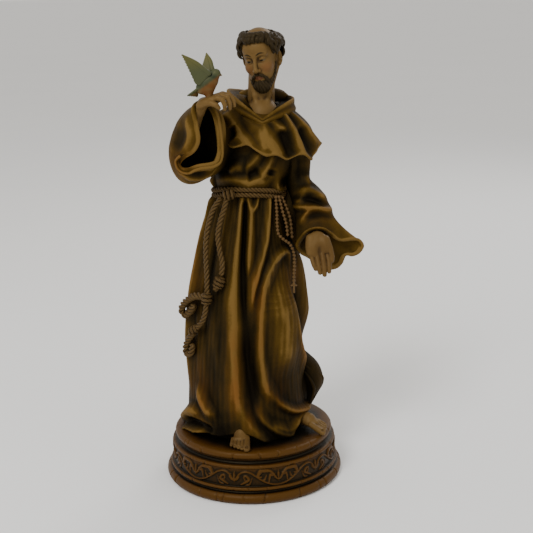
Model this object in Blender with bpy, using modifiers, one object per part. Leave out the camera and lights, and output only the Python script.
"""A painted resin friar on a round plinth, with a small bird on the raised hand.

Metres, +Z up. The front faces -Y, and the origin is the centre of the plinth's underside.
"""
import bmesh
import bpy
import numpy as np
from mathutils import Matrix, Vector

# Driving dimensions
PLINTH_RADIUS = 0.0520        # outside of the foot roll
PLINTH_HEIGHT = 0.0300
FOOT_ROLL_HEIGHT = 0.0060
GROOVE_HEIGHT = 0.0015        # above the foot roll
LOWER_BEAD_HEIGHT = 0.0020
UPPER_BEAD_HEIGHT = 0.0023
COVE_HEIGHT = 0.0034          # below the top roll
TOP_ROLL_HEIGHT = 0.0043
GROOVE_SET_IN = 0.0040        # each set-in is from the plinth's radius
LOWER_BEAD_SET_IN = 0.0024
FRIEZE_SET_IN = 0.0044
UPPER_BEAD_SET_IN = 0.0038
COVE_SET_IN = 0.0072
TOP_ROLL_SET_IN = 0.0056
VINE_PITCH = 0.0375           # along the frieze, from one open bud to the next
VINE_RADIUS = 0.0006
LEAF_HEIGHT = 0.0011          # how far the leaves stand out of the frieze
FIGURE_HEIGHT = 0.2300        # sole to crown
BIRD_LENGTH = 0.0200          # beak to tail
GAP = 0.0003                  # between castings that touch

# The figure is laid out in shares of its height: 230 units from sole to crown
FIGURE_UNITS = 230
UNIT = FIGURE_HEIGHT / FIGURE_UNITS
BIRD_UNITS = 20
DEGREE = 0.5                  # units of cloth to a degree round the figure, for drawing folds
TURN = 360

# How finely the castings are faceted
PLINTH_SIDES = 36
FIGURE_GRAIN = 0.95 * UNIT
FIGURE_FACES = 5850
BIRD_GRAIN = 0.4 * BIRD_LENGTH / BIRD_UNITS
BIRD_FACES = 440

# Plain forms of the cloth: height, centre x, centre y, half width, half depth
SKIRT = (
    (0, -3.0, 0.5, 37.0, 33.0), (8, -3.5, 0.5, 35.0, 30.5), (22, -3.5, 0.5, 33.0, 28.0),
    (45, -2.5, 0.0, 32.0, 26.0), (65, -1.5, 0.0, 31.5, 25.0), (85, -1.5, 0.5, 30.0, 23.5),
    (105, -1.0, 1.0, 26.5, 21.0), (125, 0.0, 1.0, 21.5, 17.0), (142, 1.0, 1.0, 18.5, 14.5))
TORSO = (
    (137, 1.0, 0.5, 18.5, 14.5), (141, 1.0, 0.5, 19.0, 15.5), (150, 3.0, 0.0, 22.0, 17.5),
    (160, 6.0, 0.0, 22.5, 17.5), (170, 9.0, 0.0, 22.0, 17.0), (180, 9.5, 0.0, 17.0, 13.0),
    (188, 9.5, -0.5, 9.5, 9.5))
CAPE = (
    (152, 9.0, 1.0, 33.5, 24.0), (160, 9.0, 0.5, 32.0, 22.5), (168, 9.0, 0.0, 29.5, 21.0),
    (175, 9.0, 0.0, 26.5, 18.5), (180, 9.0, -0.5, 22.0, 15.5), (184, 9.5, -1.0, 16.5, 13.0),
    (187, 9.5, -1.0, 10.5, 10.5))

# Where the habit's hem clears the ground, by degrees from the front
HEM_DEGREES = (-180, -75, -58, -45, -26, -17, -8, 2, 9, 17, 40, 48, 60, 75, 88, 100, 180)
HEM_HEIGHTS = (0, 0, 1.5, 2.5, 3, 7, 9, 9.5, 4, 0, 0, 3, 8.5, 10, 6, 1, 0)
CAPE_DEGREES = (-180, -120, -90, -57, -44, -32, -23, -15, -6, 3, 14, 25, 33, 41, 51, 65, 88, 120, 180)
CAPE_HEMS = (160, 166, 170, 170, 168, 166, 167, 168, 165, 162, 162, 159, 160, 161.5, 158, 160, 164.5,
             164, 160)

# Folds: height, reach to the viewer's left, reach to the right, then (degrees, height) down its crest
SKIRT_FOLDS = (
    (5.0, 9, 4.5, (-12, 136), (-11, 114), (-12, 98), (-11, 74), (-11, 50), (-10, 36), (-8, 24),
     (1, 11), (13, 2)),
    (-3.0, 4, 4, (-4, 133), (-2, 98), (-2, 74), (-3, 50), (9, 28), (15, 10)),
    (2.0, 3, 3, (0, 137), (4, 130), (3, 114)),
    (2.0, 2, 2, (-1, 138), (2, 132), (7, 130), (12, 132), (17, 138)),
    (3.8, 5, 4, (16, 138), (8, 122), (11, 114), (11, 100), (6, 80), (12, 64), (13, 52), (17, 33),
     (25, 24), (41, 15)),
    (2.6, 3, 3, (29, 138), (27, 116), (16, 92), (13, 74), (21, 62)),
    (3.0, 3, 4, (28, 102), (41, 105), (56, 108)),
    (3.0, 4, 3, (28, 102), (23, 91), (17, 74), (23, 56)),
    (2.6, 2.5, 3, (28, 96), (37, 102), (59, 103), (61, 94)),
    (5.0, 14, 14, (41, 92), (37, 78), (44, 60), (45, 46), (50, 31)),
    (3.5, 6, 3, (51, 86), (53, 77), (57, 62), (66, 50), (84, 36), (91, 20)),
    (-3.5, 5, 6, (64, 96), (70, 76), (80, 58), (92, 44)),
    (4.0, 8, 9, (75, 120), (84, 95), (92, 68), (102, 44)),
    (3.5, 3, 4, (24, 32), (31, 22), (46, 15), (67, 11), (93, 8)),
    (3.0, 3, 3, (9, 25), (13, 14), (24, 6), (37, 1), (47, 0)),
    (2.5, 3, 3, (27, 7), (41, 3), (60, 6), (77, 9)),
    (3.0, 6, 5, (-74, 134), (-80, 116), (-72, 100), (-71, 82), (-78, 63), (-67, 44), (-58, 31)),
    (1.5, 5, 5, (-29, 86), (-29, 71), (-30, 60), (-25, 42), (-21, 28)),
    (-2.0, 4, 4, (-48, 128), (-45, 100), (-48, 70), (-45, 46)),
    (3.5, 4, 4, (-55, 32), (-48, 22), (-38, 15), (-26, 14)),
    (3.0, 5, 4, (-95, 5), (-80, 11), (-60, 17), (-41, 16)),
    (-3.0, 3, 3, (-71, 8), (-47, 9), (-26, 8)),
    (3.5, 3, 3, (-75, 2), (-55, 4), (-41, 8)))
TORSO_FOLDS = (
    (2.8, 3, 3, (-39, 151), (-19, 154), (-12, 150)),
    (2.4, 3, 3, (-16, 153), (-7, 156), (0, 160), (6, 166)),
    (3.4, 4, 2.5, (-75, 144), (-50, 147), (-28, 148), (-14, 147), (-2, 146), (10, 147), (26, 145),
     (37, 147), (41, 149)),
    (2.6, 3, 3, (10, 146), (16, 150), (18, 153), (20, 158), (19, 165)),
    (-2.2, 3, 3, (-7, 149), (2, 151), (9, 154)),
    (-2.0, 3, 3, (27, 149), (29, 153)),
    (3.0, 3, 3, (41, 152), (43, 148), (48, 143), (65, 140), (84, 141)),
    (3.0, 3, 3, (84, 140), (86, 146), (68, 154)),
    (3.0, 3, 3, (-86, 146), (-67, 143)))
CAPE_FOLDS = (
    (2.6, 4, 3, (-57, 184), (-31, 177), (-22, 172), (-14, 168), (-6, 165), (3, 162)),
    (1.4, 4, 4, (-24, 182), (-11, 178), (-2, 175), (2, 166)),
    (1.8, 5, 4, (3, 180), (4, 172), (9, 168), (17, 162)),
    (1.6, 3, 3, (9, 181), (21, 177), (29, 174), (32, 170)),
    (3.2, 3.5, 3, (38, 182), (39, 173), (42, 168), (43, 163), (50, 157)),
    (-3.2, 5, 5, (23, 176), (25, 170), (28, 163)),
    (-2.0, 4, 4, (-41, 177), (-31, 170)),
    (2.2, 4, 4, (58, 182), (66, 173), (91, 164)),
    (-2.2, 5, 5, (50, 176), (58, 164)),
    (3.0, 6, 6, (-150, 182), (-140, 166)), (3.0, 6, 6, (150, 182), (140, 166)))
BACK_FOLDS = 7                # long plain folds behind, hidden from the front
BACK_FOLD_HEIGHT = 3.2

# The sleeve mouths, by points round their rims
RAISED_MOUTH = (
    (-22, -30, 193), (-27.4, -31, 190), (-27.2, -32, 184), (-26.4, -33, 178.5), (-26, -33, 171),
    (-29, -32.5, 166.5), (-34, -31, 164.5), (-37.5, -29, 160.6), (-35.5, -29, 155.5),
    (-31, -30, 155.8), (-25.7, -31, 157.6), (-19.3, -31, 157.4), (-15.0, -30, 158.6),
    (-12.9, -29, 162.6), (-12.6, -28, 168), (-13, -28, 175), (-13.8, -28, 181), (-15.5, -28.5, 187),
    (-18, -29, 190.5))
LOWERED_MOUTH = (
    (26.3, -15, 108.8), (28.9, -20, 116), (32.3, -23, 120.1), (36.7, -25, 122.1), (41.6, -25, 121.7),
    (46.2, -23, 118.3), (51.3, -21, 114.3), (56.8, -20, 114.4), (62, -18, 113.2), (64.5, -17, 109.2),
    (62.2, -16, 104.5), (57.8, -15, 102.5), (54.2, -15, 103.3), (53, -13, 98.5), (49.5, -11, 94.6),
    (45, -9, 93.6), (39.5, -8, 95.8), (34.1, -9, 100.3), (28.8, -12, 104.1))
SLEEVE_WALL = 3.0


def smooth(t, keys, values):
    """A smooth curve through the values at the keys, read at t."""
    keys, values = np.asarray(keys, float), np.asarray(values, float)
    t = np.clip(t, keys[0], keys[-1])
    slopes = np.gradient(values, keys, axis=0)
    i = np.clip(np.searchsorted(keys, t, side="right") - 1, 0, len(keys) - 2)
    gap = keys[i + 1] - keys[i]
    s = (t - keys[i]) / gap
    if values.ndim > 1:
        s = s.reshape(s.shape + (1,) * (values.ndim - 1))
        gap = gap.reshape(s.shape)
    rise = values[i + 1] - values[i]
    a = slopes[i] * gap - rise
    b = rise - slopes[i + 1] * gap
    return values[i] + s * (rise + (1 - s) * (a * (1 - s) + b * s))


def through(points, count):
    """A smooth open curve of count points, evenly spaced, through the given points."""
    points = np.asarray(points, float)
    reach = np.r_[0, np.cumsum(np.linalg.norm(np.diff(points, axis=0), axis=1))]
    return smooth(np.linspace(0, reach[-1], count), reach, points)


def around(points, count):
    """A smooth closed curve of count points through the given points."""
    points = np.asarray(points, float)
    lap = np.concatenate([points[-2:], points, points[:3]])
    reach = np.r_[0, np.cumsum(np.linalg.norm(np.diff(lap, axis=0), axis=1))]
    start, end = reach[2], reach[-3]
    return smooth(np.linspace(start, end, count, endpoint=False), reach, lap)


def unit(vectors):
    return vectors / np.maximum(np.linalg.norm(vectors, axis=-1, keepdims=True), 1e-9)


def step(t):
    """0 below 0, 1 above 1, and smooth between."""
    t = np.clip(t, 0, 1)
    return t * t * (3 - 2 * t)


def relief(u, z, folds):
    """How far the folds stand out of the plain form at u degrees and height z."""
    crests, hollows = np.zeros_like(u), np.zeros_like(u)
    for height, left, right, *crest in folds:
        line = through(crest, 20)
        middle = line[:, 0].mean()
        x = (np.mod(u - middle + TURN / 2, TURN) - TURN / 2 + middle) * DEGREE
        nearest = np.full(u.shape, np.inf)
        side, along = np.zeros_like(u), np.zeros_like(u)
        ends = line * (DEGREE, 1)
        for k in range(len(ends) - 1):
            (ax, az), (bx, bz) = ends[k], ends[k + 1]
            run = (bx - ax) ** 2 + (bz - az) ** 2
            t = np.clip(((x - ax) * (bx - ax) + (z - az) * (bz - az)) / run, 0, 1)
            dx, dz = x - ax - t * (bx - ax), z - az - t * (bz - az)
            far = np.hypot(dx, dz)
            near = far < nearest
            nearest = np.where(near, far, nearest)
            side = np.where(near, (bx - ax) * dz - (bz - az) * dx, side)
            along = np.where(near, (k + t) / (len(ends) - 1), along)
        reach = np.where(side > 0, right, left)
        bell = np.clip(1 - (nearest / reach) ** 2, 0, None) ** 1.7
        lift = height * bell * step(along / 0.12) * step((1 - along) / 0.12)
        if height > 0:
            crests = (crests ** 3 + lift ** 3) ** (1 / 3)
        else:
            hollows = hollows + lift
    return crests + hollows


def back_folds():
    """Long folds that fan out from the waist to the hem behind the figure."""
    folds = []
    for k in range(BACK_FOLDS):
        spread = (k + 0.5) / BACK_FOLDS - 0.5
        sway = 6 * np.sin(2.6 * k)
        foot = 180 + 150 * spread
        folds.append((BACK_FOLD_HEIGHT, 7, 5, (180 + 120 * spread, 134), (foot + sway, 95),
                      (foot - sway, 50), (foot + 0.5 * sway, 4)))
    return tuple(folds)


def form(u, z, table):
    """Points and outward directions of a plain form, u degrees from the front at height z."""
    table = np.asarray(table, float)
    x, y, wide, deep = np.moveaxis(smooth(z, table[:, 0], table[:, 1:]), -1, 0)
    a = np.radians(u)
    points = np.stack([x + wide * np.sin(a), y - deep * np.cos(a), z + 0 * a], -1)
    return points, unit(np.stack([np.sin(a) / wide, -np.cos(a) / deep, 0 * a], -1))


def skin(rings):
    """A closed body over rings of points, with a flat cap on the first and on the last."""
    rows, columns = rings.shape[:2]
    faces = [tuple(range(columns)), tuple(range((rows - 1) * columns, rows * columns))[::-1]]
    for r in range(rows - 1):
        for c in range(columns):
            d = (c + 1) % columns
            faces.append((r * columns + d, r * columns + c, (r + 1) * columns + c, (r + 1) * columns + d))
    return rings.reshape(-1, 3), faces


def sweep(centres, wide, deep, side=(1, 0, 0), sides=12, count=None):
    """A rod with round ends through the centres; its width lies along side, its depth across."""
    count = count or 4 * len(centres)
    centres = np.asarray(centres, float)
    line = through(centres, count)
    keys = np.linspace(0, 1, len(centres))
    t = np.linspace(0, 1, count)
    wide = smooth(t, keys, np.broadcast_to(wide, keys.shape))
    deep = smooth(t, keys, np.broadcast_to(deep, keys.shape))
    ahead = unit(np.gradient(line, axis=0))
    across = unit(np.asarray(side, float) - ahead * (ahead @ np.asarray(side, float))[:, None])
    up = np.cross(ahead, across)
    a = np.linspace(0, 2 * np.pi, sides, endpoint=False)
    rings = []
    for tip in (-80, -55, -28):
        shrink, back = np.cos(np.radians(tip)), np.sin(np.radians(tip))
        rings.append((line[0] + back * deep[0] * ahead[0], shrink * wide[0], shrink * deep[0], 0))
    rings += [(line[k], wide[k], deep[k], k) for k in range(count)]
    for tip in (28, 55, 80):
        shrink, on = np.cos(np.radians(tip)), np.sin(np.radians(tip))
        rings.append((line[-1] + on * deep[-1] * ahead[-1], shrink * wide[-1], shrink * deep[-1], -1))
    return skin(np.array([
        centre + w * np.cos(a)[:, None] * across[k] + d * np.sin(a)[:, None] * up[k]
        for centre, w, d, k in rings]))


def rod(centres, radius, sides=10, count=None):
    """A round rod with round ends through the centres."""
    run = np.asarray(centres, float)[-1] - np.asarray(centres, float)[0]
    side = np.eye(3)[np.argmin(abs(run))]
    return sweep(centres, radius, radius, side, sides, count)


def lump(centre, radii, frame=None, rows=10, columns=14):
    """An egg of the given half sizes, in its own frame if it has one."""
    up = np.linspace(-np.pi / 2 + 0.12, np.pi / 2 - 0.12, rows)
    a = np.linspace(0, 2 * np.pi, columns, endpoint=False)
    egg = np.stack([np.cos(up)[:, None] * np.cos(a), np.cos(up)[:, None] * np.sin(a),
                    np.sin(up)[:, None] + 0 * a], -1) * radii
    if frame is not None:
        egg = egg @ frame.T
    return skin(egg + np.asarray(centre, float))


def turned(yaw, pitch=0, roll=0):
    """A frame turned by yaw about +Z, pitched forward and rolled, in degrees."""
    y, p, r = np.radians([yaw, pitch, roll])
    about_z = np.array([[np.cos(y), -np.sin(y), 0], [np.sin(y), np.cos(y), 0], [0, 0, 1]])
    about_x = np.array([[1, 0, 0], [0, np.cos(p), -np.sin(p)], [0, np.sin(p), np.cos(p)]])
    about_y = np.array([[np.cos(r), 0, np.sin(r)], [0, 1, 0], [-np.sin(r), 0, np.cos(r)]])
    return about_y @ about_z @ about_x


def skirt():
    """The habit from the hem to the waist, with its hem lifted clear of the feet."""
    u, z = np.meshgrid(np.linspace(-180, 180, 200, endpoint=False), np.linspace(-2, 142, 100))
    points, out = form(u, z, SKIRT)
    lift = relief(u, z, SKIRT_FOLDS + back_folds())
    hem = smooth(u, HEM_DEGREES, HEM_HEIGHTS)
    lift = lift * step((145 - z) / 12) - 4.5 * step((hem - z) / 2 + 0.5) * (hem > 0.3)
    return skin(points + lift[..., None] * out)


def swirl():
    """The habit's train, caught back on the viewer's right and curling over itself."""
    return [sweep([(27, 4, 42), (34, 8, 34), (39, 9, 26), (40, 8, 18), (35, 6, 9)],
                  (3, 5, 6.5, 6, 3.5), (2.5, 2.6, 2.8, 2.4, 2), (0.2, -1, 0)),
            sweep([(31, 0, 32), (36, 2, 26), (38, 3, 20), (34, 2, 11)],
                  (1.4, 2.2, 2.2, 1.6), (1.4, 2, 2, 1.5), (0, -1, 0)),
            lump((27, 6, 19), (8.5, 11, 19))]


def torso():
    """The blouse above the belt, falling over it in a soft pouch."""
    u, z = np.meshgrid(np.linspace(-180, 180, 160, endpoint=False), np.linspace(137, 188, 44))
    points, out = form(u, z, TORSO)
    lift = relief(u, z, TORSO_FOLDS)
    behind = step((abs(u) - 90) / 30)
    lift = lift + behind * 1.8 * np.exp(-((z - 147) / 5) ** 2) * (1 + 0.4 * np.cos(np.radians(9 * u)))
    return skin(points + lift[..., None] * out)


def cape():
    """The short shoulder cape, with a rounded hem that turns under."""
    u = np.linspace(-180, 180, 180, endpoint=False)
    hem = smooth(u, CAPE_DEGREES, CAPE_HEMS)
    rings = []
    for t in np.linspace(0, 1, 36):
        z = 187 - t * (187 - hem)
        points, out = form(u, z, CAPE)
        lift = relief(u, z, CAPE_FOLDS) + 0.8 * np.exp(-((z - hem) / 1.6) ** 2)
        rings.append(points + lift[..., None] * out)
    edge = rings[-1]
    for inward, drop in ((0.7, -0.9), (2.0, -1.0), (3.0, 0.2), (6.5, 2.5), (12, 6)):
        rings.append(edge - inward * out + (0, 0, drop))
    return skin(np.array(rings))


def cowl():
    """The hood's front, a thick collar that opens to a V below the throat."""
    u = np.linspace(-180, 180, 96, endpoint=False)
    keys = (-180, -130, -90, -60, -30, 0, 30, 60, 90, 130, 180)
    rim = smooth(u, keys, (17, 18.5, 19.5, 18, 17, 17.2, 17, 17.5, 17.8, 17.5, 17))
    top = smooth(u, keys, (197, 198, 197, 194, 189, 184, 187.5, 190.3, 191.4, 194, 197))
    foot = smooth(u, keys, (184, 186, 187, 184, 181, 177.5, 181, 183.5, 184, 184, 184))
    out = np.stack([np.sin(np.radians(u)), -np.cos(np.radians(u)), 0 * u], -1)
    section = [(rim - 7, foot - 4), (0 * rim + 8.2, foot - 2), (0 * rim + 9.2, foot + 4),
               (rim - 4.6, top - 3.2), (rim - 2.2, top - 0.6), (rim - 1.0, top), (rim, top - 0.5),
               (rim + 0.6, top - 2.2), (rim + 0.9, foot + 3.2), (rim + 1.0, foot + 0.6),
               (rim + 0.2, foot - 0.7), (rim - 2, foot - 1.5)]
    rings = np.array([(9.5, -1.0, 0) + r[:, None] * out + z[:, None] * np.array((0, 0, 1.0))
                      for r, z in section + section[:1]])
    return hoop(rings)


def hoop(rings):
    """A closed hoop over rings of points whose last ring lies on the first."""
    points, faces = skin(rings)
    rows, columns = rings.shape[:2]
    last = (rows - 1) * columns
    keep = [tuple(v - last if v >= last else v for v in face) for face in faces[2:]]
    return points[:last], keep


def hood():
    """The hood itself, hanging down the back in a soft point."""
    bag = sweep([(9.5, 9, 190), (9.5, 17, 182), (9.5, 21, 170), (10, 20.5, 158), (10.5, 19, 150)],
                (15, 17, 14, 8, 2.2), (5.5, 6.5, 5.5, 4, 2), (1, 0, 0), 28, 24)
    folds = [rod([(9.5 + 13 * s, 13, 190), (9.5 + 10 * s, 23, 180), (9.5 + 5 * s, 26, 168),
                  (10, 24, 157)], (1.5, 2, 2, 1.2)) for s in (-1, 1)]
    return [bag] + folds


def offset_in(loop, wall):
    """The loop moved inward by the wall, square to its own run."""
    ahead = unit(np.roll(loop, -1, 0) - np.roll(loop, 1, 0))
    middle = loop.mean(0)
    facing = unit(np.cross(loop - middle, ahead).sum(0))
    inward = unit(np.cross(facing, ahead))
    moved = loop + wall * inward
    for _ in range(3):
        moved = 0.5 * moved + 0.25 * (np.roll(moved, 1, 0) + np.roll(moved, -1, 0))
    return moved


def oval(centre, first, second, count=72):
    """A loop round the centre that starts at the first half axis and goes by way of the second."""
    a = np.linspace(0, 2 * np.pi, count, endpoint=False)
    first, second = np.asarray(first, float), np.asarray(second, float)
    return np.asarray(centre, float) + np.cos(a)[:, None] * first + np.sin(a)[:, None] * second


def sleeve(loops, depth, folds=None):
    """A hollow sleeve through loops from the shoulder to the mouth, open to the given depth."""
    keys = np.arange(len(loops))
    loops = np.array(loops)
    outer = smooth(np.linspace(0, keys[-1], 9 * len(loops)), keys, loops)
    if folds is not None:
        outer = folds(outer)
    ahead = unit(outer[-1].mean(0) - outer[-6].mean(0))
    lip = [offset_in(outer[-1], 0.7) + 0.6 * ahead, offset_in(outer[-1], 1.6) + 0.5 * ahead]
    rows = range(len(outer) - 1, len(outer) - 1 - depth, -1)
    inner = [offset_in(outer[k], SLEEVE_WALL) for k in rows]
    return skin(np.concatenate([outer, lip, inner]))


def raised_sleeve():
    """The wide sleeve of the raised arm, fallen back to show the wrist."""
    mouth = around(RAISED_MOUTH, 72)
    loops = [
        oval((2, 0, 172), (0, 0, 10), (0, 9, 0)),
        oval((-8, -5, 168), (0, 0, 13), (-1, 9, 0)),
        oval((-18, -10, 167), (0, 0, 17), (-7, 9, 0)),
        oval((-26, -17, 170), (2, 3, 22), (-14.5, 3, -2)),
        oval((-26.8, -23, 171), (3.5, 0, 23.5), (-14.6, 0, -3)),
        0.35 * oval((-26.5, -27, 171), (4, 0, 23.5), (-14.2, 0, -3)) + 0.65 * mouth,
        mouth]
    hem = rod(mouth[[*range(24, 72, 3)]], 1.5)
    return [sleeve(loops, 26), hem]


def lowered_sleeve():
    """The sleeve of the lowered arm, bunched at the elbow and flaring round the open hand."""
    mouth = around(LOWERED_MOUTH, 72)
    loops = [
        oval((22, 0, 178), (-8, 0, 0), (0, -8, -3)),
        oval((28.5, -1, 168), (-9.5, 0, 0), (0, -9, -2)),
        oval((30.5, 0, 155), (-9, 0, 0), (0, -9.5, 0)),
        oval((32.5, 1, 143), (-9.5, 0, 0), (0, -8.5, 5)),
        oval((36, -4, 135), (-10, 0, 0), (0, -6, 7.5)),
        oval((37, -9, 128), (-10, 0, 0), (0, -4.5, 8)),
        oval((38.5, -13, 119), (-11.5, 0, 0), (2, -4, 8.5)),
        0.5 * oval((43, -15, 111), (-16, 0, 0), (0, -5, 10)) + 0.5 * mouth,
        mouth]
    return sleeve(loops, 20, elbow_folds)


def elbow_folds(outer):
    """The rolls of cloth that ring the lowered forearm, deepest on top."""
    rows, count = outer.shape[:2]
    t = np.linspace(0, 1, rows)[:, None]
    share = np.arange(count)[None] / count
    lean = 0.02 * np.cos(2 * np.pi * share)
    swell = 0
    for height, place, reach in ((1.6, 0.47, 0.035), (-0.9, 0.53, 0.03), (2.0, 0.60, 0.035),
                                 (-1.4, 0.67, 0.03), (1.2, 0.73, 0.03)):
        swell = swell + height * np.exp(-((t - place + lean) / reach) ** 2)
    swell = swell * (1 + 0.4 * np.sin(2 * np.pi * share))
    return outer + unit(outer - outer.mean(1, keepdims=True)) * swell[..., None]


def raised_hand():
    """The raised hand, palm down, its fingers curling over the front."""
    palm = sweep([(-31, -17, 166), (-28.5, -21, 177), (-24.4, -27, 186), (-19.5, -32, 191.5),
                  (-14, -34, 192.8), (-10.5, -34, 192.6)], (4.4, 4.2, 4.0, 4.2, 5.2, 4.4),
                 (4.4, 4.2, 3.8, 2.9, 2.7, 2.3), (0.3, -1, 0), 14)
    fingers = [
        [(-13.5, -37.0, 193.4), (-10.9, -38.8, 192.6), (-9.7, -38.8, 190.4), (-9.9, -38.0, 188.0)],
        [(-11.5, -35.2, 194.4), (-8.6, -36.8, 193.6), (-7.2, -37.0, 190.8), (-7.2, -36.4, 188.2)],
        [(-11.0, -33.0, 194.8), (-7.4, -34.0, 194.4), (-5.4, -34.4, 192.0), (-4.9, -34.2, 189.6)],
        [(-11.5, -31.0, 194.4), (-8.2, -31.2, 194.0), (-6.2, -31.6, 192.0), (-5.6, -31.8, 190.2)],
        [(-20.5, -35.0, 190.8), (-17.2, -37.4, 191.2), (-14.2, -38.4, 190.2), (-12.6, -38.2, 188.6)]]
    return [palm] + [rod(line, (1.7, 1.55, 1.4, 1.1)) for line in fingers]


def lowered_hand():
    """The lowered hand, held open with the palm to the front."""
    palm = sweep([(35, -6, 130), (36, -16, 122), (36.6, -24, 117.5), (37.5, -29, 111.5),
                  (39.2, -31.5, 106.8)], (5, 4.8, 5.2, 6.0, 5.4), (5, 4, 3.2, 2.6, 2.0),
                 (1, 0, 0.15), 14)
    fingers = [
        [(34.9, -31.2, 108.0), (36.6, -33.4, 102.6), (39.0, -34.0, 98.4)],
        [(37.6, -31.8, 107.8), (39.0, -34.2, 101.8), (40.6, -35.0, 97.4)],
        [(40.4, -32.0, 107.6), (41.4, -34.4, 101.6), (42.4, -35.0, 97.2)],
        [(43.0, -31.6, 107.4), (44.8, -33.6, 102.8), (46.8, -34.0, 99.4)],
        [(39.6, -27.5, 118.0), (42.6, -30.8, 112.8), (45.4, -32.6, 106.8)]]
    widths = [(1.5, 1.4, 1.1)] * 4 + [(2.4, 2.0, 1.4)]
    return [palm] + [rod(line, width) for line, width in zip(fingers, widths)]


def feet():
    """Both feet as far as they come out from under the hem."""
    def foot(heel, toe, frame, mirrored):
        heel, toe = np.asarray(heel, float), np.asarray(toe, float)
        across = frame @ (1, 0, 0)
        pieces = [sweep([heel, 0.5 * (heel + toe) + (0, 0, 1.6), toe], (4.4, 5.0, 4.6), (4.4, 3.4, 2.0),
                        across)]
        ahead = unit(toe - heel)
        for k in range(5):
            offset = mirrored * (3.1 - 2.0 * k - (0.5 if k else 0))
            reach = 2.6 - 0.55 * k - 0.12 * k * k
            radius = 1.9 if k == 0 else 1.25 - 0.06 * k
            root = toe + offset * across * 0.9 - 1.5 * ahead
            pieces.append(rod([root, root + (reach + 1.2) * ahead - (0, 0, 0.3)], radius))
        return pieces

    left = foot((-6.0, -22, 6.0), (-6.6, -38.4, 3.2), turned(0), 1)
    right = foot((25.0, -7, 5.8), (37.6, -16.6, 3.2), turned(53), -1)
    return left + right


def head():
    """The head, turned to the bird and bowed, with a tonsure, moustache and beard."""
    frame = turned(-20, 12, -9)
    seat = np.array((9.4, -3.4, 214.2))

    def at(*place):
        return seat + frame @ np.array(place, float)

    pieces = [
        lump(at(0, 0.8, 4.2), (10.4, 12.4, 11.6), frame, 14, 20),
        lump(at(0, -3.0, -4.6), (8.2, 8.8, 11.2), frame),
        lump(at(0, -8.2, -13.0), (3.6, 3.2, 3.4), frame),
        lump(at(0, -8.3, 2.6), (7.4, 4.0, 2.2), frame),
        rod([at(0, -11.2, 1.2), at(0, -12.8, -2.0), at(0, -13.8, -4.4)], (1.0, 1.3, 1.7)),
        lump(at(0, -10.2, -9.6), (2.6, 2.0, 1.2), frame),
        sweep([at(0, -12.0, -6.9), at(3.0, -11.2, -7.9), at(4.8, -9.4, -10.6)], (1.3, 1.2, 1.0), 1.2),
        sweep([at(0, -12.0, -6.9), at(-3.0, -11.2, -7.9), at(-4.8, -9.4, -10.6)], (1.3, 1.2, 1.0), 1.2),
        lump(at(0, -8.8, -14.6), (4.4, 3.8, 4.6), frame),
        sweep([(9.2, 2, 178), (9.0, 0.5, 190), (9.2, -1.5, 204)], (8.2, 7.5, 7.4), (8.0, 7.4, 7.4),
              (1, 0, 0), 16)]
    for s in (-1, 1):
        pieces += [
            lump(at(4.6 * s, -8.0, -4.0), (2.8, 3.0, 3.0), frame),
            lump(at(10.2 * s, 1.4, -2.6), (1.4, 2.6, 3.8), frame),
            sweep([at(8.6 * s, -3.4, -4.5), at(7.4 * s, -5.2, -10.5), at(4.2 * s, -8.2, -15.0)],
                  (1.0, 1.4, 1.8), (1.3, 1.8, 2.4), frame @ (1, 0, 0))]
    for k in range(22):
        a = 2 * np.pi * k / 22
        back = step((1 - np.cos(a)) / 2)
        ring = at(9.8 * np.sin(a), 0.8 - 11.0 * np.cos(a), 9.4 - 5.0 * back)
        pieces.append(lump(ring, (2.6, 2.6, 2.7 + 2.0 * back), frame, 6, 8))
        if back > 0.42:
            low = at(10.0 * np.sin(a), 1.2 - 11.0 * np.cos(a), -0.5 - 3.0 * back)
            pieces.append(lump(low, (2.4, 2.6, 5.5), frame, 6, 8))
    return pieces


def strand(points, radius=1.5):
    return rod(points, radius, 8, 5 * len(points))


def knot(centre, along, radius=2.5, coils=3):
    """A few tight turns of the cord, side by side."""
    along = unit(np.asarray(along, float))
    side = unit(np.cross(along, (0, 1, 0.2)))
    front = np.cross(side, along)
    a = np.linspace(0, 2 * np.pi, 14, endpoint=False)
    pieces = []
    for k in range(coils):
        middle = np.asarray(centre, float) + (k - (coils - 1) / 2) * 2.2 * along
        core = middle + radius * (np.cos(a)[:, None] * side + np.sin(a)[:, None] * front)
        b = np.linspace(0, 2 * np.pi, 7)
        rings = np.array([middle + (core - middle) * (1 + 0.45 * np.cos(t)) + 1.2 * np.sin(t) * along
                          for t in b])
        pieces.append(hoop(rings))
    pieces.append(lump(centre, (radius, radius, radius)))
    return pieces


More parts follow.
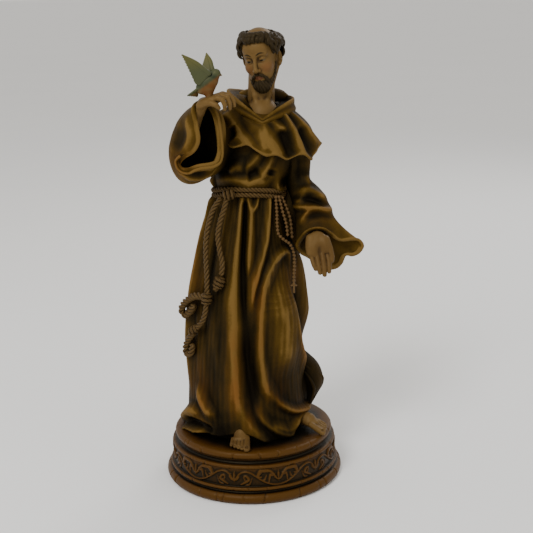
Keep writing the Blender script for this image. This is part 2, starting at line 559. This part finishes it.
def girdle():
    """The cord round the waist, its two hanging ends with their knots, and the side loops."""
    pieces = []
    u = np.linspace(-180, 180, 73)
    for rise, stand in ((1.5, 1.3), (-1.5, 1.5)):
        sag = smooth(u, (-180, -90, -29, 10, 41, 60, 90, 180), (0, -2.4, 0.4, 0, -1.6, -3, -1.4, 0))
        z = 140.2 + rise + sag
        points, out = form(u, z, TORSO)
        pieces.append(rod(points + stand * out, 1.35, 8, 110))
    pieces += knot((-9.8, -17.5, 139.7), (1, 0, 0.3))
    pieces.append(strand([(-11.5, -16.5, 137.5), (-18.4, -18.2, 125.3), (-22.6, -18.5, 115.5),
                          (-24.4, -20, 103.3), (-24.2, -21.2, 93.2), (-24.0, -22.2, 83.4)]))
    pieces += knot((-24.0, -22.2, 83.4), (0, 0, 1))
    pieces.append(strand([(-24.5, -22, 83.8), (-30.0, -18.5, 83), (-35, -13, 79), (-39.6, -8, 74),
                          (-40.6, -6, 70), (-37.6, -8, 67.4), (-34.6, -12, 70.5), (-31.8, -16, 76)], 1.8))
    pieces.append(strand([(-24, -22.2, 82), (-24.6, -22.5, 76), (-26.5, -21.8, 69),
                          (-30.5, -18.8, 63.6)]))
    pieces += knot((-32.2, -17.2, 62.2), (0.7, -0.3, 0.5), 2.4)
    pieces.append(strand([(-33, -16, 61), (-36.8, -12, 55), (-38.8, -9, 49), (-38.6, -8, 45),
                          (-36, -11, 46.5), (-34.4, -13.6, 53)], 1.7))
    pieces.append(strand([(-9.4, -17.6, 137.5), (-13.5, -20, 125.7), (-16.2, -20.8, 115.8),
                          (-15.6, -22.5, 107.6), (-14.2, -24, 99.2), (-15, -24.6, 95)]))
    pieces += knot((-16.5, -24.2, 91.6), (0.35, 0, 1))
    pieces.append(strand([(-17.3, -24.2, 90), (-19.4, -23.8, 86.8)], 1.7))
    return pieces


def rosary():
    """Strings of beads that hang from the belt on the viewer's right, down to a small cross."""
    pieces = [
        rod([(15.9, -13.6, 137), (16.3, -15, 127.9), (16.4, -17, 121.3), (17, -17.6, 116.8),
             (19.6, -17.6, 113.9), (23, -16.4, 111), (25.2, -15.8, 106), (25.6, -16, 100),
             (25.2, -17, 94), (25, -18, 88)], 1.05, 8, 60),
        rod([(17.6, -13, 137), (19.7, -14, 128.2), (21.6, -14.6, 120.8), (22, -15.6, 116)], 1.0, 8, 30),
        rod([(19.6, -11, 136), (23.6, -11, 124.4), (24.6, -12.5, 114)], 1.0, 8, 30),
        rod([(25, -18.2, 89), (25, -18.6, 81.5)], 1.0),
        rod([(23, -18, 86.4), (27, -18.2, 86.4)], 0.9)]
    return pieces


def bird():
    """The bird, wings raised, in figure units, standing on the spot between its feet."""
    body = unit(np.array((0.83, 0, 0.56)))
    frame = np.stack([body, (0, 1, 0), np.cross(body, (0, 1, 0))], 1)
    return [
        lump((0.6, 0, 5.0), (6.6, 3.3, 3.8), frame, 12, 16),
        lump((4.9, 0, 8.6), (2.7, 2.4, 2.5), frame),
        rod([(6.6, 0, 8.6), (8.6, 0, 8.1)], (1.0, 0.45)),
        sweep([(-3.0, 0, 3.2), (-6.6, 0, 1.2), (-9.4, 0, -0.4)], (2.0, 1.8, 2.2), (1.4, 0.9, 0.6),
              (0, 1, 0)),
        sweep([(-1.4, -2.0, 6.2), (-5.6, -3.0, 11.4), (-9.2, -3.6, 15.2), (-12.0, -3.8, 18.6)],
              (4.0, 3.2, 2.0, 0.7), (1.0, 0.8, 0.65, 0.45), (0.75, 0, 0.65)),
        sweep([(1.2, 2.0, 7.0), (1.0, 4.0, 11.6), (0.6, 5.2, 15.2), (0.2, 5.8, 18.4)],
              (3.4, 3.0, 1.9, 0.7), (1.0, 0.8, 0.65, 0.45), (1, 0, 0.15)),
        rod([(-0.6, -1.1, 3.0), (-0.4, -1.2, 0.8)], 0.8, 8),
        rod([(-0.4, 1.1, 3.0), (0.0, 1.2, 0.8)], 0.8, 8),
        lump((0, 0, 0.9), (2.4, 2.2, 0.8))]


def new_object(name, mesh, collection):
    thing = bpy.data.objects.new(name, mesh)
    collection.objects.link(thing)
    return thing


def mesh_of(name, pieces, place, scale):
    """One mesh from many closed bodies, scaled to metres and set at its place."""
    points, faces, base = [], [], 0
    for corners, sides in pieces:
        points.append(corners)
        faces += [tuple(base + v for v in side) for side in sides]
        base += len(corners)
    mesh = bpy.data.meshes.new(name)
    mesh.from_pydata((np.concatenate(points) * scale + np.asarray(place)).tolist(), [], faces)
    return mesh


def cast(thing, grain, faces):
    """Fuse the overlapping bodies into one skin and bring it down to about so many faces."""
    fuse = thing.modifiers.new("Fuse", "REMESH")
    fuse.mode = "VOXEL"
    fuse.voxel_size = grain
    fuse.adaptivity = 0
    bpy.context.view_layer.update()
    fused = thing.evaluated_get(bpy.context.evaluated_depsgraph_get()).data
    triangles = sum(len(p.vertices) - 2 for p in fused.polygons)
    thin = thing.modifiers.new("Facets", "DECIMATE")
    thin.ratio = faces / triangles
    thin.use_collapse_triangulate = True
    bpy.context.view_layer.update()


def paint(thing, name, colour, roughness, metallic=0.0):
    material = bpy.data.materials.new(name)
    material.use_nodes = True
    shader = material.node_tree.nodes["Principled BSDF"]
    shader.inputs["Base Color"].default_value = (*colour, 1)
    shader.inputs["Roughness"].default_value = roughness
    shader.inputs["Metallic"].default_value = metallic
    thing.data.materials.append(material)


def arc(middle, height, reach, half, first, last, count):
    """Points (radius, z) on part of an oval moulding, between two angles in degrees."""
    a = np.radians(np.linspace(first, last, count))
    return [(middle + reach * np.cos(t), height + half * np.sin(t)) for t in a]


def plinth_levels():
    """The heights of the mouldings' lower edges, from the ground up; the frieze takes the rest."""
    foot = FOOT_ROLL_HEIGHT
    lower = foot + GROOVE_HEIGHT
    frieze = lower + LOWER_BEAD_HEIGHT
    roll = PLINTH_HEIGHT - TOP_ROLL_HEIGHT
    cove = roll - COVE_HEIGHT
    upper = cove - UPPER_BEAD_HEIGHT
    return foot, lower, frieze, upper, cove, roll


def plinth_body(collection):
    """The turned plinth, from its moulded profile."""
    foot, lower, frieze, upper, cove, roll = plinth_levels()
    half_roll, half_foot = TOP_ROLL_HEIGHT / 2, FOOT_ROLL_HEIGHT / 2
    half_upper, half_lower = UPPER_BEAD_HEIGHT / 2, LOWER_BEAD_HEIGHT / 2
    top_radius = PLINTH_RADIUS - TOP_ROLL_SET_IN
    groove_radius = PLINTH_RADIUS - GROOVE_SET_IN
    wall = PLINTH_RADIUS - FRIEZE_SET_IN
    profile = [(0, PLINTH_HEIGHT)]
    profile += arc(top_radius - half_roll, roll + half_roll, half_roll, half_roll, 90, -80, 4)
    profile += arc(PLINTH_RADIUS - COVE_SET_IN, (roll + cove) / 2, 0, COVE_HEIGHT * 0.3, 90, -90, 2)
    profile += arc(PLINTH_RADIUS - UPPER_BEAD_SET_IN - half_upper, cove - half_upper, half_upper,
                   half_upper, 80, -80, 3)
    profile += [(wall, upper - half_upper * 0.2), (wall, frieze + half_lower * 0.2)]
    profile += arc(PLINTH_RADIUS - LOWER_BEAD_SET_IN - half_lower, frieze - half_lower, half_lower,
                   half_lower, 80, -80, 3)
    profile += [(groove_radius, (lower + foot) / 2)]
    profile += arc(PLINTH_RADIUS - half_foot, half_foot, half_foot, half_foot, 72, -72, 5)
    profile += [(PLINTH_RADIUS - half_foot * 1.4, 0), (0, 0)]
    mesh = bpy.data.meshes.new("plinth")
    mesh.from_pydata([(r, 0, z) for r, z in profile], [(k, k + 1) for k in range(len(profile) - 1)], [])
    plinth = new_object("plinth", mesh, collection)
    turn = plinth.modifiers.new("Turned", "SCREW")
    turn.steps = PLINTH_SIDES
    turn.render_steps = PLINTH_SIDES
    turn.use_merge_vertices = True
    turn.merge_threshold = 0.00001
    return plinth


def vine(collection):
    """The running vine of the frieze: a wavy stem, with an open bud and a pair of leaves in turn."""
    foot, lower, frieze, upper, cove, roll = plinth_levels()
    wall = PLINTH_RADIUS - FRIEZE_SET_IN
    low, high = frieze + LOWER_BEAD_HEIGHT * 0.1, upper - UPPER_BEAD_HEIGHT * 0.1
    band = high - low
    pairs = max(3, round(2 * np.pi * wall / VINE_PITCH))
    pitch = 2 * np.pi / pairs
    run = wall * pitch / 2                  # along the wall, from a bud to the next leaf pair
    build = bmesh.new()

    def spot(along, up, out=0.0):
        """A point on the frieze: along it in radians, up it as a share of the band."""
        return Vector(((wall + out) * np.sin(along), -(wall + out) * np.cos(along), low + up * band))

    def leaf(along, up, long, wide, lean):
        """A pointed leaf lying on the wall, its length leaning up from level by lean degrees."""
        spin = Matrix.Rotation(along, 4, "Z") @ Matrix.Rotation(-np.radians(lean), 4, "Y")
        size = Matrix.Diagonal((long, LEAF_HEIGHT, wide, 1))
        bmesh.ops.create_uvsphere(build, u_segments=4, v_segments=2, radius=1,
                                  matrix=Matrix.Translation(spot(along, up)) @ spin @ size)

    for k in range(pairs):
        bud = k * pitch - np.radians(11)
        leaf(bud, 0.56, run * 0.10, band * 0.24, 0)
        for s in (-1, 1):
            leaf(bud + s * pitch * 0.12, 0.22, run * 0.20, band * 0.12, s * 20)
        pair = bud + pitch / 2
        leaf(pair, 0.52, run * 0.09, band * 0.28, 0)
        for s in (-1, 1):
            leaf(pair + s * pitch * 0.115, 0.72, run * 0.22, band * 0.13, -s * 18)
    mesh = bpy.data.meshes.new("leaves")
    build.to_mesh(mesh)
    build.free()
    leaves = new_object("leaves", mesh, collection)

    curve = bpy.data.curves.new("stem", "CURVE")
    curve.dimensions = "3D"
    curve.bevel_depth = VINE_RADIUS
    curve.bevel_resolution = 0
    wave = ((0, 0.5), (0.13, 0.84), (0.36, 0.84), (0.62, 0.42), (0.85, 0.1))
    beats = [(side, share, up) for side in (-1, 1) for share, up in (wave[::-1] if side < 0 else wave[1:])]
    spline = curve.splines.new("POLY")
    spline.points.add(pairs * len(beats) - 1)
    spline.use_cyclic_u = True
    for k in range(pairs):
        for j, (side, share, up) in enumerate(beats):
            along = k * pitch - np.radians(11) + side * share * pitch / 2
            spline.points[k * len(beats) + j].co = (*spot(along, up, 0.0002), 1)
    stem = new_object("stem", curve, collection)
    bpy.context.view_layer.update()
    solid = bpy.data.meshes.new_from_object(stem.evaluated_get(bpy.context.evaluated_depsgraph_get()))
    tube = new_object("vine_stem", solid, collection)
    bpy.data.objects.remove(stem)
    return leaves, tube


def make_plinth(parts, cutters):
    plinth = plinth_body(parts)
    for piece in vine(cutters):
        piece.hide_render = True
        piece.display_type = "WIRE"
        carve = plinth.modifiers.new(piece.name, "BOOLEAN")
        carve.operation = "UNION"
        carve.solver = "EXACT"
        carve.use_self = True
        carve.object = piece
    paint(plinth, "amber_brown", (0.33, 0.17, 0.05), 0.45)


def slab(cutters):
    """A block whose top is where the figure's flat sole rests."""
    deep, wide = 10 * UNIT, 60 * UNIT
    build = bmesh.new()
    size = Matrix.Diagonal((2 * wide, 2 * wide, deep, 1))
    place = Matrix.Translation((0, 0, PLINTH_HEIGHT + GAP - deep / 2)) @ size
    bmesh.ops.create_cube(build, size=1, matrix=place)
    mesh = bpy.data.meshes.new("ground")
    build.to_mesh(mesh)
    build.free()
    ground = new_object("ground", mesh, cutters)
    ground.hide_render = True
    ground.display_type = "WIRE"
    return ground


def make_figure(parts, cutters):
    pieces = [skirt(), torso(), cape(), cowl(), lowered_sleeve()]
    for group in (raised_sleeve, swirl, hood, raised_hand, lowered_hand, feet, head, girdle, rosary):
        pieces += group()
    mesh = mesh_of("figure", pieces, (0, 0, PLINTH_HEIGHT + GAP), UNIT)
    figure = new_object("figure", mesh, parts)
    cast(figure, FIGURE_GRAIN, FIGURE_FACES)
    ground = slab(cutters)
    sole = figure.modifiers.new("Flat sole", "BOOLEAN")
    sole.operation = "DIFFERENCE"
    sole.solver = "EXACT"
    sole.object = ground
    paint(figure, "olive_brown", (0.16, 0.10, 0.035), 0.5)
    return figure


def make_bird(parts, figure):
    """The bird, seated on the highest point of the hand below its feet."""
    feet_at = Vector((-18.0 * UNIT, -34.0 * UNIT, 0))
    ground = figure.evaluated_get(bpy.context.evaluated_depsgraph_get())
    scale = BIRD_LENGTH / BIRD_UNITS
    reach = 2.4 * scale
    spots = [(dx, dy) for dx in (-reach, 0, reach) for dy in (-reach, 0, reach)]
    above = PLINTH_HEIGHT + 205 * UNIT
    tops = []
    for dx, dy in spots:
        hit, place, _, _ = ground.ray_cast(feet_at + Vector((dx, dy, above)), (0, 0, -1))
        if hit:
            tops.append(place.z)
    mesh = mesh_of("bird", bird(), (feet_at.x, feet_at.y, max(tops) + GAP), scale)
    thing = new_object("bird", mesh, parts)
    cast(thing, BIRD_GRAIN, BIRD_FACES)
    paint(thing, "teal_green", (0.06, 0.12, 0.09), 0.5)


def main():
    for thing in list(bpy.data.objects):
        bpy.data.objects.remove(thing)
    parts = bpy.data.collections.new("friar_statue")
    cutters = bpy.data.collections.new("cutters")
    for group in (parts, cutters):
        bpy.context.scene.collection.children.link(group)
    make_plinth(parts, cutters)
    figure = make_figure(parts, cutters)
    make_bird(parts, figure)


main()
